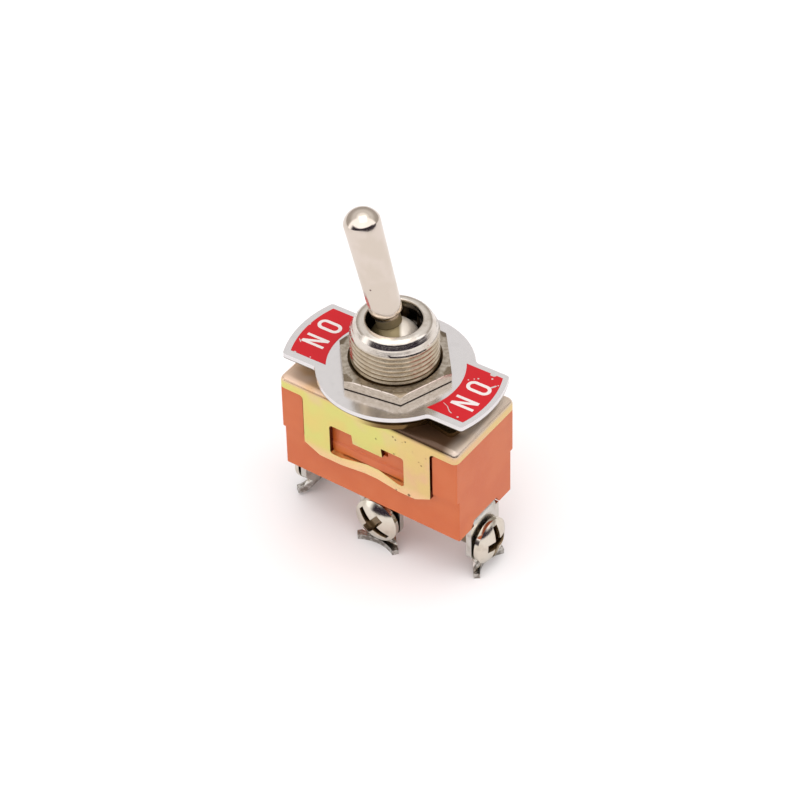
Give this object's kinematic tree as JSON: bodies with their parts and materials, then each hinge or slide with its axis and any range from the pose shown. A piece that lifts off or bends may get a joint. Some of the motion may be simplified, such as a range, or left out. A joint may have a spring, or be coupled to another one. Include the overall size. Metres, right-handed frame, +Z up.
{
  "type": "toggle switch",
  "caption": "Panel toggle switch: a bat lever in a threaded bushing over a moulded case, with three screw terminals below.",
  "frame": {"origin": "on the bushing's axis, at the top face of the mounting bracket", "axes": "+Z up along the bushing, towards the lever; +X along the case towards the right-hand terminal; the centre terminal's screw faces -Y"},
  "size_m": [0.0326, 0.0214, 0.0532],
  "materials": {
    "housing": "satin",
    "insulator": "matte",
    "bracket": "yellow passivated zinc",
    "nickel": "nickel plated",
    "pin": "plain",
    "locating_ring": "yellow passivated zinc",
    "washer": "zinc plated",
    "plate": "bright",
    "terminal": "tin plated brass",
    "contact": "silver",
    "brass": "plain",
    "screw": "nickel plated",
    "lever": "nickel plated",
    "plunger": "satin",
    "spring": "plain"
  },
  "bodies": {
    "body": {"housing": "housing", "insulator": "insulator", "mounting_bracket": "bracket", "bushing": "nickel", "pivot_pin": "pin", "locating_ring": "locating_ring", "lower_nut": "nickel", "lock_washer": "washer", "indicator_plate": "plate", "upper_nut": "nickel", "terminal_left": "terminal", "terminal_centre": "terminal", "terminal_right": "terminal", "fixed_contact_left": "contact", "fixed_contact_right": "contact", "fulcrum": "brass"},
    "lever": {"lever": "lever", "plunger_spring": "spring"},
    "plunger": {"plunger": "plunger"},
    "rocker": {"rocker": "brass", "moving_contact_left": "contact", "moving_contact_right": "contact"},
    "screw_left": {"screw_left": "screw"},
    "screw_centre": {"screw_centre": "screw"},
    "screw_right": {"screw_right": "screw"}
  },
  "joints": [
    {"name": "lever_tilt", "type": "hinge", "parent": "body", "child": "lever", "pos_m": [0, 0, 0.0077], "axis": [0, 1, 0], "range_deg": [0, 29.2]},
    {"name": "rocker_tilt", "type": "hinge", "parent": "body", "child": "rocker", "pos_m": [0, 0, -0.0119], "axis": [0, 1, 0], "range_deg": [-12.1, 0]},
    {"name": "plunger_slide", "type": "slide", "parent": "lever", "child": "plunger", "axis": [-0.2521, 0, 0.9677], "range_m": [0, 0.0008], "stiffness_N_per_m": 600, "deforming": ["plunger_spring"]},
    {"name": "screw_left_slide", "type": "slide", "parent": "body", "child": "screw_left", "axis": [-1, 0, 0], "range_m": [0, 0.0025]},
    {"name": "screw_centre_slide", "type": "slide", "parent": "body", "child": "screw_centre", "axis": [0, -1, 0], "range_m": [0, 0.0025]},
    {"name": "screw_right_slide", "type": "slide", "parent": "body", "child": "screw_right", "axis": [1, 0, 0], "range_m": [0, 0.0025]}
  ],
  "couplings": [
    {"joint": "rocker_tilt", "follows": "lever_tilt", "ratio": -0.41096}
  ]
}
